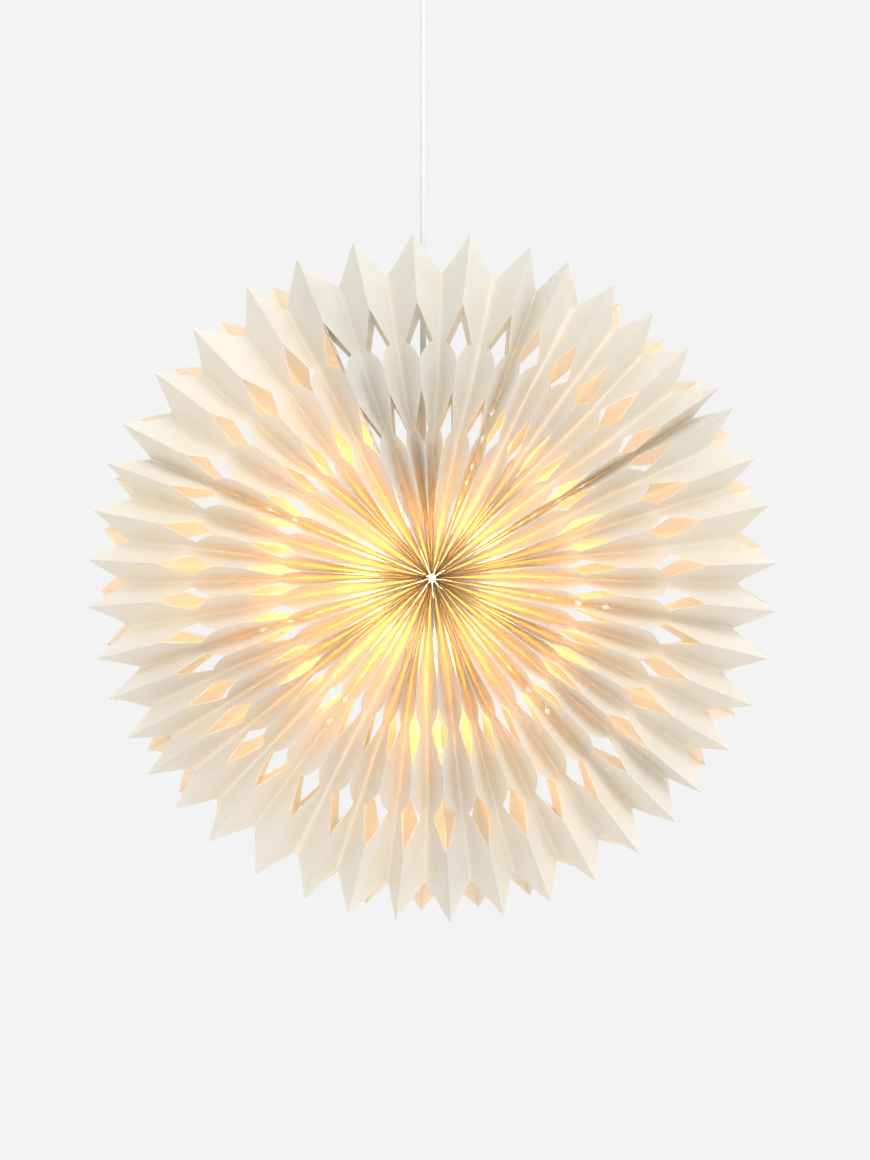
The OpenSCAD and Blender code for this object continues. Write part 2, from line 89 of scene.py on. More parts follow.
class Shader:
    """A material under construction, with short calls for the nodes that the finishes share."""

    MIX_FIRST = 6
    MIX_SECOND = 7
    MIX_RESULT = 2
    EDGE_SAMPLES = 4
    EDGE_SPAN: Span = (0.75, 0.99)

    def __init__(self, name: str) -> None:
        """Starts an empty material.

        Args:
            name: the material's name.
        """
        self.material = bpy.data.materials.new(name)
        self.material.use_nodes = True
        self.tree = self.material.node_tree
        self.tree.nodes.clear()
        self.output = self.tree.nodes.new("ShaderNodeOutputMaterial")
        self.coordinates = self.tree.nodes.new("ShaderNodeTexCoord").outputs["Object"]

    def node(self, kind: str, values: dict | None = None, **settings) -> bpy.types.Node:
        """Adds a node.

        Args:
            kind: Blender's name for the node's type, without the ShaderNode in front.
            values: an input socket's name or number, and its value or the socket linked to it.
            **settings: the node's own properties.

        Returns:
            The new node.
        """
        made = self.tree.nodes.new("ShaderNode" + kind)
        for key, value in settings.items():
            setattr(made, key, value)
        for key, value in (values or {}).items():
            if isinstance(value, bpy.types.NodeSocket):
                self.tree.links.new(value, made.inputs[key])
            elif isinstance(value, tuple) and len(value) == 3 and made.inputs[key].type == "RGBA":
                made.inputs[key].default_value = (*value, 1.0)
            else:
                made.inputs[key].default_value = value
        return made

    def stretched(self, scale: Triple) -> bpy.types.NodeSocket:
        """The piece's own coordinates, drawn out along its axes."""
        return self.node("Mapping", {"Vector": self.coordinates, "Scale": scale}).outputs["Vector"]

    def noise(self, grain: Grain, vector: bpy.types.NodeSocket | None = None) -> bpy.types.NodeSocket:
        """A cloudy pattern.

        Args:
            grain: how fine and how rough it is.
            vector: the coordinates it is read at, or None for the piece's own.

        Returns:
            The pattern's value, from 0 to 1.
        """
        return self.node("TexNoise", {"Vector": vector or self.coordinates, "Scale": grain.scale,
                                      "Detail": grain.detail, "Roughness": grain.rough}).outputs["Fac"]

    def between(self, value: bpy.types.NodeSocket, to: Span, seen: Span = WHOLE) -> bpy.types.NodeSocket:
        """A value mapped from the span in which it is seen to another, and held there."""
        return self.node("MapRange", {"Value": value, "From Min": seen[0], "From Max": seen[1],
                                      "To Min": to[0], "To Max": to[1]}).outputs["Result"]

    def tint(self, share: bpy.types.NodeSocket, first: Colour | bpy.types.NodeSocket,
             second: Colour) -> bpy.types.NodeSocket:
        """A colour between two others.

        Args:
            share: 0 for the first colour, 1 for the second.
            first: a colour, or the socket that gives one.
            second: a colour.

        Returns:
            The mixed colour.
        """
        values = {"Factor": share, self.MIX_FIRST: first, self.MIX_SECOND: second}
        return self.node("Mix", values, data_type="RGBA").outputs[self.MIX_RESULT]

    def added(self, first: bpy.types.NodeSocket, second: bpy.types.NodeSocket,
              share: float) -> bpy.types.NodeSocket:
        """One pattern with a share of a second added to it."""
        scaled = self.node("Math", {0: second, 1: share}, operation="MULTIPLY")
        return self.node("Math", {0: first, 1: scaled.outputs[0]}, operation="ADD").outputs[0]

    def bump(self, height: bpy.types.NodeSocket, strength: float, depth: float) -> bpy.types.NodeSocket:
        """Relief read from a pattern, depth metres deep at full strength."""
        return self.node("Bump", {"Height": height, "Strength": strength,
                                  "Distance": depth}).outputs["Normal"]

    def edges(self, width: float) -> bpy.types.NodeSocket:
        """Finds edges and corners.

        Args:
            width: how far from an edge it still counts, in metres.

        Returns:
            A share that rises to 1 on edges.
        """
        bevel = self.node("Bevel", {"Radius": width}, samples=self.EDGE_SAMPLES).outputs["Normal"]
        plain = self.node("NewGeometry").outputs["Normal"]
        angle = self.node("VectorMath", {0: bevel, 1: plain}, operation="DOT_PRODUCT")
        return self.between(angle.outputs["Value"], (1.0, 0.0), self.EDGE_SPAN)

    def surface(self, values: dict) -> bpy.types.NodeSocket:
        """A Principled surface with these inputs."""
        return self.node("BsdfPrincipled", values).outputs["BSDF"]

    def lit_through(self, face: bpy.types.NodeSocket, share: float | bpy.types.NodeSocket, colour: Colour,
                    normal: bpy.types.NodeSocket | None = None) -> bpy.types.NodeSocket:
        """Lets light through a surface from behind.

        Args:
            face: the surface.
            share: how much of it is light that comes through.
            colour: the colour that the light takes.
            normal: the surface's relief, or None where it has none on the lit side.

        Returns:
            The mixed surface.
        """
        values = {"Color": colour} if normal is None else {"Color": colour, "Normal": normal}
        glow = self.node("BsdfTranslucent", values).outputs[0]
        return self.node("MixShader", {0: share, 1: face, 2: glow}).outputs[0]

    def glowing(self, face: bpy.types.NodeSocket, colour: Colour, strength: float) -> bpy.types.NodeSocket:
        """A surface that also gives off light."""
        light = self.node("Emission", {"Color": colour, "Strength": strength}).outputs[0]
        return self.node("AddShader", {0: face, 1: light}).outputs[0]

    def done(self, surface: bpy.types.NodeSocket) -> bpy.types.Material:
        """Joins a surface to the output and hands the material over."""
        self.tree.links.new(surface, self.output.inputs["Surface"])
        return self.material


# ---------- Finishes ----------
#
# Depths, widths and places are in metres. A relief is its strength and its depth.


@dataclass(frozen=True)
class PaperFinish:
    """Uncoated paper: fibres, faint clouds where the pulp is thicker, a painted highlight along the ridge
    folds, and light that comes through.
    """

    name: str = "star_paper"
    light: Colour = (0.968, 0.968, 0.928)
    dark: Colour = (0.95, 0.948, 0.9)
    # painted highlight: the lighter colour laid along the ridge folds
    ridge_highlight: Colour = (0.985, 0.982, 0.965)
    through: Colour = (0.96, 0.91, 0.77)
    share_through: float = 0.31
    share_spread: float = 0.2
    clouds: Grain = Grain(26.0, 3.0, 0.5)
    fibres: Grain = Grain(900.0, 6.0, 0.7)
    fibre_run: Triple = (1.0, 1.0, 0.35)
    flecks: Grain = Grain(2600.0, 2.0)
    fibres_seen: float = 0.45
    flecks_felt: float = 0.5
    pulp_span: Span = (0.45, 0.95)
    rough: Span = (0.78, 0.92)
    gloss: float = 0.25
    sheen: float = 0.06
    relief: Span = (0.35, 0.00012)
    # where the painted highlight lies: the ridges' distance from the middle plane, the band's width, and how
    # far it mixes in
    crease_y: float = 0.08
    crease_width: float = 0.0012
    ridge_highlight_share: float = 0.65

    def build(self) -> bpy.types.Material:
        """Makes the material.

        Returns:
            A mix of a rough surface and one that the lamp shines through.
        """
        s = Shader(self.name)
        clouds = s.noise(self.clouds)
        fibres = s.noise(self.fibres, s.stretched(self.fibre_run))
        flecks = s.noise(self.flecks)
        pulp = s.between(s.added(clouds, fibres, self.fibres_seen), WHOLE, self.pulp_span)
        depth = s.node("SeparateXYZ", {0: s.coordinates}).outputs["Y"]
        height = s.node("Math", {0: depth}, operation="ABSOLUTE").outputs[0]
        # painted highlight: a lighter band along the ridge folds, at crease_y from the middle plane
        crease = s.between(height, (0.0, self.ridge_highlight_share),
                           (self.crease_y - self.crease_width, self.crease_y))
        relief = s.bump(s.added(fibres, flecks, self.flecks_felt), *self.relief)
        face = s.surface({"Base Color": s.tint(crease, s.tint(pulp, self.dark, self.light), self.ridge_highlight),
                          "Roughness": s.between(fibres, self.rough, NOISE_SPAN),
                          "Specular IOR Level": self.gloss, "Normal": relief, "Sheen Weight": self.sheen})
        most = self.share_through * (1 + self.share_spread)
        least = self.share_through * (1 - self.share_spread)
        share = s.between(clouds, (most, least), NOISE_SPAN)
        return s.done(s.lit_through(face, share, self.through, relief))


@dataclass(frozen=True)
class CardFinish:
    """Stiff card with a slightly open surface, which the lamp hardly shines through."""

    name: str = "seam_card"
    light: Colour = (0.93, 0.91, 0.85)
    dark: Colour = (0.87, 0.845, 0.77)
    through: Colour = (0.9, 0.72, 0.5)
    share_through: float = 0.2
    fibres: Grain = Grain(700.0, 6.0, 0.7)
    clouds: Grain = Grain(40.0, 3.0, 0.5)
    fibres_seen: float = 0.6
    pulp_span: Span = (0.5, 1.1)
    rough: Span = (0.75, 0.9)
    relief: Span = (0.4, 0.00015)

    def build(self) -> bpy.types.Material:
        """Makes the material.

        Returns:
            A rough surface with a little light through it.
        """
        s = Shader(self.name)
        fibres = s.noise(self.fibres)
        pulp = s.between(s.added(s.noise(self.clouds), fibres, self.fibres_seen), WHOLE, self.pulp_span)
        face = s.surface({"Base Color": s.tint(pulp, self.dark, self.light),
                          "Roughness": s.between(fibres, self.rough, NOISE_SPAN),
                          "Normal": s.bump(fibres, *self.relief)})
        return s.done(s.lit_through(face, self.share_through, self.through))


@dataclass(frozen=True)
class TapeFinish:
    """Woven hook and loop tape: a fine crossed weave under a fuzz, with painted shade where the weave lies
    low.
    """

    name: str = "fastener_tape"
    light: Colour = (0.94, 0.93, 0.91)
    # dark is painted shade in the weave's hollows; light is the tape's own white
    dark: Colour = (0.72, 0.7, 0.67)
    threads: float = 260.0
    thread_sway: float = 0.6
    fuzz: Grain = Grain(1800.0, 5.0, 0.75)
    fuzz_felt: float = 0.8
    height_span: Span = (0.2, 0.9)
    rough: float = 0.95
    sheen: float = 0.4
    relief: Span = (0.8, 0.0003)

    def build(self) -> bpy.types.Material:
        """Makes the material.

        Returns:
            A rough woven surface, darker where the weave and fuzz lie low: painted shade.
        """
        s = Shader(self.name)
        ways = [s.node("TexWave", {"Vector": s.coordinates, "Scale": self.threads,
                                   "Distortion": self.thread_sway}, bands_direction=way).outputs["Fac"]
                for way in ("Y", "Z")]
        weave = s.node("Math", {0: ways[0], 1: ways[1]}, operation="MULTIPLY").outputs[0]
        height = s.added(weave, s.noise(self.fuzz), self.fuzz_felt)
        # painted shade: the colour darkens where the weave and fuzz lie low
        colour = s.tint(s.between(height, WHOLE, self.height_span), self.dark, self.light)
        return s.done(s.surface({"Base Color": colour, "Roughness": self.rough, "Sheen Weight": self.sheen,
                                 "Normal": s.bump(height, *self.relief)}))


@dataclass(frozen=True)
class PlasticFinish:
    """Moulded plastic: a fine spark-eroded grain, a little dust colour in it, and edges rubbed smooth."""

    name: str
    light: Colour
    dark: Colour
    rough: float = 0.42
    grain: Grain = Grain(2400.0)
    share_through: float = 0.0
    handled: Grain = Grain(55.0)
    grain_seen: float = 0.3
    dust_span: Span = (0.4, 0.95)
    rough_spread: Span = (-0.08, 0.1)
    gloss: float = 0.45
    edge: float = 0.0005
    relief: Span = (0.25, 0.00008)

    def build(self) -> bpy.types.Material:
        """Makes the material.

        Returns:
            A satin surface, mixed with one that a lamp shines through where the wall is thin.
        """
        s = Shader(self.name)
        grain = s.noise(self.grain)
        handled = s.noise(self.handled)
        dust = s.between(s.added(handled, grain, self.grain_seen), WHOLE, self.dust_span)
        colour = s.tint(s.edges(self.edge), s.tint(dust, self.dark, self.light), self.light)
        rough = (self.rough + self.rough_spread[0], self.rough + self.rough_spread[1])
        face = s.surface({"Base Color": colour, "Roughness": s.between(handled, rough, NOISE_SPAN),
                          "Specular IOR Level": self.gloss, "Normal": s.bump(grain, *self.relief)})
        return s.done(s.lit_through(face, self.share_through, self.light) if self.share_through else face)


@dataclass(frozen=True)
class MetalFinish:
    """Drawn, rolled or plated metal: fine lines one way, stains, and brighter worn edges."""

    name: str
    bright: Colour
    dull: Colour
    rough: float = 0.3
    drawn: Triple = (1.0, 1.0, 14.0)
    spangle: float = 0.0
    lines: Grain = Grain(700.0, 5.0)
    stains: Grain = Grain(85.0)
    lines_seen: float = 0.35
    spangle_seen: float = 0.5
    stain_span: Span = (0.4, 1.1)
    rough_spread: Span = (-0.08, 0.16)
    edge: float = 0.0004
    relief: Span = (0.2, 0.00006)

    def build(self) -> bpy.types.Material:
        """Makes the material.

        Returns:
            A metal surface, with zinc flakes where the finish has a spangle.
        """
        s = Shader(self.name)
        lines = s.noise(self.lines, s.stretched(self.drawn))
        share = s.added(s.noise(self.stains), lines, self.lines_seen)
        if self.spangle:
            flakes = s.node("TexVoronoi", {"Vector": s.coordinates, "Scale": self.spangle}).outputs["Color"]
            flake = s.node("SeparateColor", {0: flakes}).outputs[0]
            share = s.added(share, flake, self.spangle_seen)
        colour = s.tint(s.between(share, WHOLE, self.stain_span), self.dull, self.bright)
        rough = (self.rough + self.rough_spread[0], self.rough + self.rough_spread[1])
        return s.done(s.surface({"Base Color": s.tint(s.edges(self.edge), colour, self.bright),
                                 "Metallic": 1.0, "Roughness": s.between(share, rough, self.stain_span),
                                 "Normal": s.bump(lines, *self.relief)}))


@dataclass(frozen=True)
class OpalGlassFinish:
    """The lit bulb: glass with a milky coat inside, which glows evenly all over."""

    name: str = "bulb_opal_glass"
    lit: Colour = (1.0, 0.45, 0.115)
    strength: float = 640.0
    thin_coat: Colour = (0.96, 0.93, 0.86)
    thick_coat: Colour = (0.99, 0.97, 0.92)
    coat: Grain = Grain(160.0)
    rough: Span = (0.12, 0.22)
    varnish: float = 0.4
    relief: Span = (0.1, 0.0001)

    def build(self) -> bpy.types.Material:
        """Makes the material.

        Returns:
            Milky glass that gives off the lamp's light.
        """
        s = Shader(self.name)
        coat = s.noise(self.coat)
        glass = s.surface({"Base Color": s.tint(coat, self.thin_coat, self.thick_coat),
                           "Roughness": s.between(coat, self.rough, NOISE_SPAN),
                           "Coat Weight": self.varnish, "Normal": s.bump(coat, *self.relief)})
        return s.done(s.glowing(glass, self.lit, self.strength))


@dataclass(frozen=True)
class RodFinish:
    """Phosphor rods, glowing evenly, with the grain of their coating."""

    name: str = "filament_rods"
    lit: Colour = (1.0, 0.62, 0.26)
    strength: float = 40.0
    dark: Colour = (0.95, 0.68, 0.22)
    light: Colour = (1.0, 0.8, 0.4)
    grain: Grain = Grain(1500.0)
    rough: Span = (0.5, 0.75)
    relief: Span = (0.3, 0.0001)

    def build(self) -> bpy.types.Material:
        """Makes the material.

        Returns:
            A grainy surface that gives off light.
        """
        s = Shader(self.name)
        grain = s.noise(self.grain)
        rod = s.surface({"Base Color": s.tint(grain, self.dark, self.light),
                         "Roughness": s.between(grain, self.rough), "Normal": s.bump(grain, *self.relief)})
        return s.done(s.glowing(rod, self.lit, self.strength))


@dataclass(frozen=True)
class ClearGlassFinish:
    """Pressed or fused glass, clear or dark, with slight waves in it."""

    name: str
    colour: Colour
    see_through: float
    waves: Grain = Grain(220.0, 3.0, 0.5)
    rough: Span = (0.04, 0.12)
    bending: float = 1.5
    relief: Span = (0.15, 0.0003)

    def build(self) -> bpy.types.Material:
        """Makes the material.

        Returns:
            A glossy surface, clear as far as the glass is.
        """
        s = Shader(self.name)
        waves = s.noise(self.waves)
        return s.done(s.surface({"Base Color": self.colour, "Transmission Weight": self.see_through,
                                 "Roughness": s.between(waves, self.rough, NOISE_SPAN),
                                 "IOR": self.bending, "Normal": s.bump(waves, *self.relief)}))


class Finish(enum.Enum):
    """Every finish on the object."""

    PAPER = PaperFinish()
    CARD = CardFinish()
    FASTENER_TAPE = TapeFinish()
    STEEL_WIRE = MetalFinish("drawn_wire", (0.78, 0.78, 0.79), (0.6, 0.6, 0.61), 0.32)
    WHITE_PLASTIC = PlasticFinish("white_moulding", (0.9, 0.9, 0.885), (0.82, 0.815, 0.795))
    THIN_PLASTIC = PlasticFinish("white_thin_moulding", (0.9, 0.9, 0.885), (0.82, 0.815, 0.795),
                                 share_through=0.5)
    INSERT_PLASTIC = PlasticFinish("heat_proof_moulding", (0.86, 0.835, 0.77), (0.76, 0.73, 0.66), 0.6)
    BRASS = MetalFinish("stamped_brass", (0.86, 0.66, 0.3), (0.6, 0.43, 0.18), 0.28)
    PLATED_STEEL = MetalFinish("zinc_plated", (0.78, 0.78, 0.77), (0.58, 0.58, 0.56), 0.3, (1.0, 1.0, 1.0))
    GALVANISED_STEEL = MetalFinish("galvanised_sheet", (0.8, 0.81, 0.82), (0.55, 0.56, 0.58), 0.38,
                                   (8.0, 1.0, 1.0), 180.0)
    BULB_GLASS = OpalGlassFinish()
    BULB_METAL = MetalFinish("rolled_thread", (0.82, 0.82, 0.8), (0.62, 0.62, 0.6), 0.3)
    BULB_BLACK_GLASS = ClearGlassFinish("black_vitrite", (0.02, 0.02, 0.025), 0.0)
    STEM_GLASS = ClearGlassFinish("pressed_stem_glass", (0.95, 0.96, 0.95), 0.85)
    FILAMENT = RodFinish()
    CORD_SHEATH = PlasticFinish("cord_sheath", (0.84, 0.84, 0.835), (0.77, 0.77, 0.765), 0.34, Grain(900.0))

    @property
    def slot(self) -> str:
        """The record's name for it: thin and thick white mouldings are the same plastic."""
        return "white_plastic" if self is Finish.THIN_PLASTIC else self.name.lower()


class Palette:
    """The finishes' materials, each made once, when a piece first asks for it."""

    def __init__(self) -> None:
        """Starts with none made."""
        self.made: dict[Finish, bpy.types.Material] = {}

    def material(self, finish: Finish) -> bpy.types.Material:
        """Finds a finish's material, and makes it if it is new.

        Args:
            finish: the finish.

        Returns:
            Its material.
        """
        if finish not in self.made:
            self.made[finish] = finish.value.build()
        return self.made[finish]

    def dress(self, piece: bpy.types.Object, finish: Finish) -> None:
        """Gives a piece a finish, in all of its material slots.

        Args:
            piece: a mesh or curve.
            finish: what it is made of.
        """
        material = self.material(finish)
        if not piece.material_slots:
            piece.data.materials.append(material)
        for slot in piece.material_slots:
            slot.material = material

    def dress_nodes(self, finish: Finish, *names: str) -> None:
        """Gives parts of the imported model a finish.

        Args:
            finish: what they are made of.
            *names: the parts' names.
        """
        for name in names:
            self.dress(frame["nodes"][name], finish)
            log.info("%s: %s", name, finish.name.lower())


# ---------- Small helpers ----------


def smooth(x: np.ndarray | float, start: float, end: float) -> np.ndarray | float:
    """A share that eases from 0 at start to 1 at end."""
    t = np.clip((x - start) / (end - start), 0.0, 1.0)
    return t * t * (3.0 - 2.0 * t)


def near_zero(angle: float) -> float:
    """The same angle, between half a turn back and half a turn on."""
    return (angle + math.pi) % math.tau - math.pi


def joint_place(name: str) -> Vector:
    """The point on a joint's axis, in metres."""
    return Vector(next(j for j in frame["joints"] if j["name"] == name)["pos_m"])


def middle_of(node: str) -> Vector:
    """The middle of a part's box."""
    low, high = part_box(node)
    return (low + high) / 2


def new_object(name: str, data: bpy.types.ID) -> bpy.types.Object:
    """Puts new data in the scene.

    Args:
        name: the object's name.
        data: its mesh, curve, light or camera.

    Returns:
        The object.
    """
    made = bpy.data.objects.new(name, data)
    bpy.context.scene.collection.objects.link(made)
    return made


# ---------- The pleated bags ----------


class Side(enum.Enum):
    """Which of a bag's two pleated sides: the one that looks along -Y or the one that looks along +Y."""

    FRONT = -1
    REAR = 1


@dataclass(frozen=True)
class Bag:
    """One bag's place in the fan. Angles are clockwise from straight up, in radians, seen from the front."""

    number: int
    start: float
    end: float
    first_fold: float
    last_fold: float
    body_before: str
    body_after: str

    @property
    def holds_cord(self) -> bool:
        """Whether it is the bag through which the cord runs down to the lamp."""
        return self.body_before == self.body_after

    def starts_low(self, side: Side) -> bool:
        """Whether a side starts with a valley at the leaf, and so folds half a pleat away from the front."""
        return side is Side.REAR and not self.holds_cord

    def falls(self, side: Side, strip: int) -> bool:
        """Whether a strip runs from a ridge down to a valley, counted on from the bag's first leaf."""
        return (strip % 2 == 0) != self.starts_low(side)


@dataclass
class PaperCuts:
    """What is notched, punched and trimmed from the flat paper. Radii from the hub, in metres."""

    tip_r: float
    neck_radii: tuple[float, ...] = (0.064, 0.152, 0.240)
    neck_shares: tuple[float, ...] = (0.72, 0.42, 0.36)
    rear_necks_in: float = 0.007
    taper: float = 0.037
    taper_curve: float = 0.92
    shoulder: float = 0.024
    shoulder_curve: float = 0.9
    punch_radii: tuple[float, ...] = (0.064, 0.080, 0.103, 0.120, 0.150, 0.178)
    punch_r: float = 0.0035
    punch_stretch: float = 2.4
    punch_rings: tuple[float, ...] = (-1.0, -0.8, 0.0, 0.8, 1.0)
    notch_r: float = 0.309
    tip_cut: float = 0.985
    tip_curve: float = 0.88
    nothing: float = 1e-9

    def necks(self, side: Side) -> list[float]:
        """The radii of a side's diamonds at their widest."""
        return [neck - (self.rear_necks_in if side is Side.REAR else 0.0) for neck in self.neck_radii]

    def marks(self, side: Side) -> list[float]:
        """The radii at which a side's cuts begin, turn and end.

        Args:
            side: the bag's front or rear, whose diamonds lie a little apart.

        Returns:
            The radii, in no order.
        """
        marks = [self.notch_r, self.tip_r]
        for neck in self.necks(side):
            marks += [neck - self.shoulder, neck, neck + self.taper]
        for punch in self.punch_radii:
            marks += [punch + self.punch_r * share for share in self.punch_rings]
        return marks

    def kept_share(self, r: float, side: Side) -> float:
        """The share of a strip, from its valley, that the diamond notches leave.

        Args:
            r: the radius.
            side: the bag's front or rear.

        Returns:
            1 where the strip is whole, and less within a diamond.
        """
        for neck, share in zip(self.necks(side), self.neck_shares):
            outwards = (r - neck) / self.taper
            inwards = (neck - r) / self.shoulder
            if 0.0 <= outwards < 1.0 - self.nothing:
                return share + (1.0 - share) * outwards**self.taper_curve
            if 0.0 <= inwards < 1.0 - self.nothing:
                return share + (1.0 - share) * math.sin(inwards * math.pi / 2) ** self.shoulder_curve
        return 1.0

    def punch_share(self, r: float, width: float) -> float:
        """How much of a flap, from its foot, half of a punched hole cuts away.

        Args:
            r: the radius.
            width: the flap's width.

        Returns:
            A share of that width.
        """
        reach = max(self.punch_r**2 - (r - punch)**2 for punch in self.punch_radii)
        return self.punch_stretch * math.sqrt(reach) / width if reach > self.nothing else 0.0

    def cut_share(self, r: float) -> float:
        """How much of a strip, from its valley, the V between two tips cuts away.

        Args:
            r: the radius.

        Returns:
            A share of the strip's width.
        """
        if r <= self.notch_r + self.nothing:
            return 0.0
        return self.tip_cut * ((r - self.notch_r) / (self.tip_r - self.notch_r)) ** self.tip_curve


@dataclass
class Strays:
    """How far one side's folds and strips stray from true, as paper does.

    Attributes:
        lean: each fold's sideways angle at the hub end and at the tip end, in radians.
        bows: how far each strip bows along the fan, in metres.
        waves: each strip's phase, and how fast it waves along its length, in radians a metre.
        ridges: how deep each ridge stands, in metres.
    """

    lean: list[tuple[float, float]]
    bows: list[float]
    waves: list[tuple[float, float]]
    ridges: list[float]


@dataclass
class PleatedBags:
    """The nine bags' pleated fronts and rears, folded and notched from flat paper. Sizes in metres."""

    palette: Palette
    strips: int = 8
    thickness: float = 0.00024
    valley_y: float = 0.030
    flap_drop: float = 0.001
    flap_bend: float = 0.05
    packed_r: float = 0.0034
    leaf_clear: float = 0.000275
    joined_clear: float = 0.00013
    leaf_from_r: float = 0.045
    clear_ease: float = 0.01
    ring_step: float = 0.0032
    valley_round: float = 0.0055
    most_bend: float = 0.8
    least_strip: float = 1e-4
    crowding: float = 0.62
    crowd_from_r: float = 0.215
    crowd_full_r: float = 0.05
    least_pitch: float = 0.00031
    sway: float = 0.0075
    hub_sway: float = 0.25
    lean_from_r: float = 0.02
    free_folds: float = 2.0
    bow: float = 0.0011
    bow_span: Span = (0.2, 1.0)
    bow_widths: Span = (0.002, 0.012)
    wave_span: Span = (18, 34)
    ridge_stray: float = 0.0005
    columns: tuple[float, ...] = (0.0, 0.04, 0.1, 0.19, 0.32, 0.5, 0.74, 1.0)
    crease_angle: float = math.radians(32)
    ridge_within: float = 1e-5
    tip_within: float = 1e-3
    seed: int = 41
    hub: Vector = field(init=False)
    tip_r: float = field(init=False)
    half_depth: float = field(init=False)
    cuts: PaperCuts = field(init=False)
    bags: list[Bag] = field(init=False)
    radii: dict[Side, list[float]] = field(init=False)

    def __post_init__(self) -> None:
        """Reads the fan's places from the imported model."""
        self.hub = joint_place("fold_1")
        self.half_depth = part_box("rear_pleats_1")[1].y
        self.tip_r = max(r for r, _ in self.fold_ends(1))
        self.cuts = PaperCuts(self.tip_r)
        self.bags = [self.read_bag(number) for number in range(1, 10)]
        self.radii = {side: self.ring_radii(side) for side in Side}

    def angle_of(self, point: Vector) -> float:
        """The clockwise angle of a point round the hub."""
        return math.atan2(point.x - self.hub.x, point.z - self.hub.z)

    def leaf_angle(self, number: int) -> float:
        """The angle of the leaf at which a bag starts, the seam's for the ninth.

        Args:
            number: the bag that starts there, from 1 to 10, where 10 is the first again.

        Returns:
            The angle in radians, rising from leaf to leaf.
        """
        if number == 9:
            middle = (middle_of("end_leaf_left") + middle_of("end_leaf_right")) / 2
        else:
            middle = middle_of(f"leaf_{(number - 1) % 9 + 1}")
        return self.angle_of(middle) % math.tau + (math.tau if number == 10 else 0.0)

    def fold_ends(self, number: int) -> list[tuple[float, float]]:
        """Finds the corners of a bag's ridges.

        Args:
            number: the bag, from 1 to 9.

        Returns:
            The radius and angle of each point on its ridges.
        """
        points = [v.co for v in frame["nodes"][f"rear_pleats_{number}"].data.vertices]
        ridge = [p for p in points if p.y > self.half_depth - self.ridge_within]
        return [(math.hypot(p.x - self.hub.x, p.z - self.hub.z), self.angle_of(p)) for p in ridge]

    def read_bag(self, number: int) -> Bag:
        """Finds a bag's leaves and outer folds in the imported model.

        Args:
            number: the bag, from 1 to 9.

        Returns:
            Its place in the fan.
        """
        start = self.leaf_angle(number)
        end = self.leaf_angle(number + 1)
        tips = [near_zero(angle - start) + start
                for r, angle in self.fold_ends(number) if r > self.tip_r - self.tip_within]
        before = "lantern" if number in (1, 9) else f"bag_{number - 1}"
        after = "lantern" if number == 9 else f"bag_{number}"
        return Bag(number, start, end, min(tips), max(tips), before, after)

    def ring_radii(self, side: Side) -> list[float]:
        """The radii at which the paper is drawn: an even spacing, with rings where the cuts begin and end.

        Args:
            side: the bag's front or rear.

        Returns:
            The rings' radii, rising.
        """
        marks = sorted({round(mark, 6) for mark in [self.packed_r, *self.cuts.marks(side)]})
        radii = [marks[0]]
        for low, high in zip(marks, marks[1:]):
            count = max(1, round((high - low) / self.ring_step))
            radii += [low + (high - low) * n / count for n in range(1, count + 1)]
        return radii

    def clear_of(self, r: float) -> float:
        """How far a flap's foot stands off the joint, closer where no leaf lies between the bags."""
        return self.joined_clear + (self.leaf_clear - self.joined_clear) * smooth(
            r, self.leaf_from_r - self.clear_ease, self.leaf_from_r)

    def fold_places(self, bag: Bag, side: Side, r: float, lean: list[tuple[float, float]]) -> list[float]:
        """Where a bag's folds cross a ring.

        Args:
            bag: the bag.
            side: its front or its rear.
            r: the ring's radius.
            lean: how far each fold leans sideways, in radians, at the hub end and at the tip end.

        Returns:
            The distance of each fold along the ring from the bag's first leaf.
        """
        arc = r * (bag.end - bag.start)
        if bag.starts_low(side):
            first = self.clear_of(r)
            last = arc - self.clear_of(r)
        else:
            clear = 2 * self.joined_clear
            first = clear + r * (bag.first_fold - bag.start - clear / self.tip_r)
            last = arc - clear - r * (bag.end - bag.last_fold - clear / self.tip_r)
        pitch = (last - first) / self.strips
        crowd = self.crowding * (1.0 - smooth(r, self.crowd_full_r, self.crowd_from_r))
        crowd = max(0.0, min(crowd, 1.0 - self.least_pitch / pitch))
        along = smooth(r, self.lean_from_r, self.tip_r)
        places = []
        for n, (hub_lean, tip_lean) in enumerate(lean):
            share = n / self.strips
            even = share + crowd * math.sin(math.tau * share) / math.tau
            places.append(first + (last - first) * even + r * (hub_lean * (1 - along) + tip_lean * along))
        return places

    def strays(self, bag: Bag, side: Side) -> Strays:
        """Draws how far one side strays from true, the same on every run.

        Args:
            bag: the bag.
            side: its front or its rear.

        Returns:
            The strays of its folds and strips, with none at the bag's first and last fold.
        """
        dice = random.Random(self.seed * 100 + bag.number * 2 + side.value)
        free = [smooth(min(n, self.strips - n), 0.0, self.free_folds) for n in range(self.strips + 1)]
        lean = [(dice.gauss(0, self.hub_sway) * self.sway * share, dice.gauss(0, 1) * self.sway * share)
                for share in free]
        bows = [dice.uniform(*self.bow_span) * self.bow for _ in range(self.strips + 2)]
        waves = [(dice.uniform(0, math.tau), dice.uniform(*self.wave_span)) for _ in range(self.strips + 2)]
        ridges = [self.half_depth - abs(dice.gauss(0, self.ridge_stray)) for _ in range(self.strips + 1)]
        return Strays(lean, bows, waves, ridges)

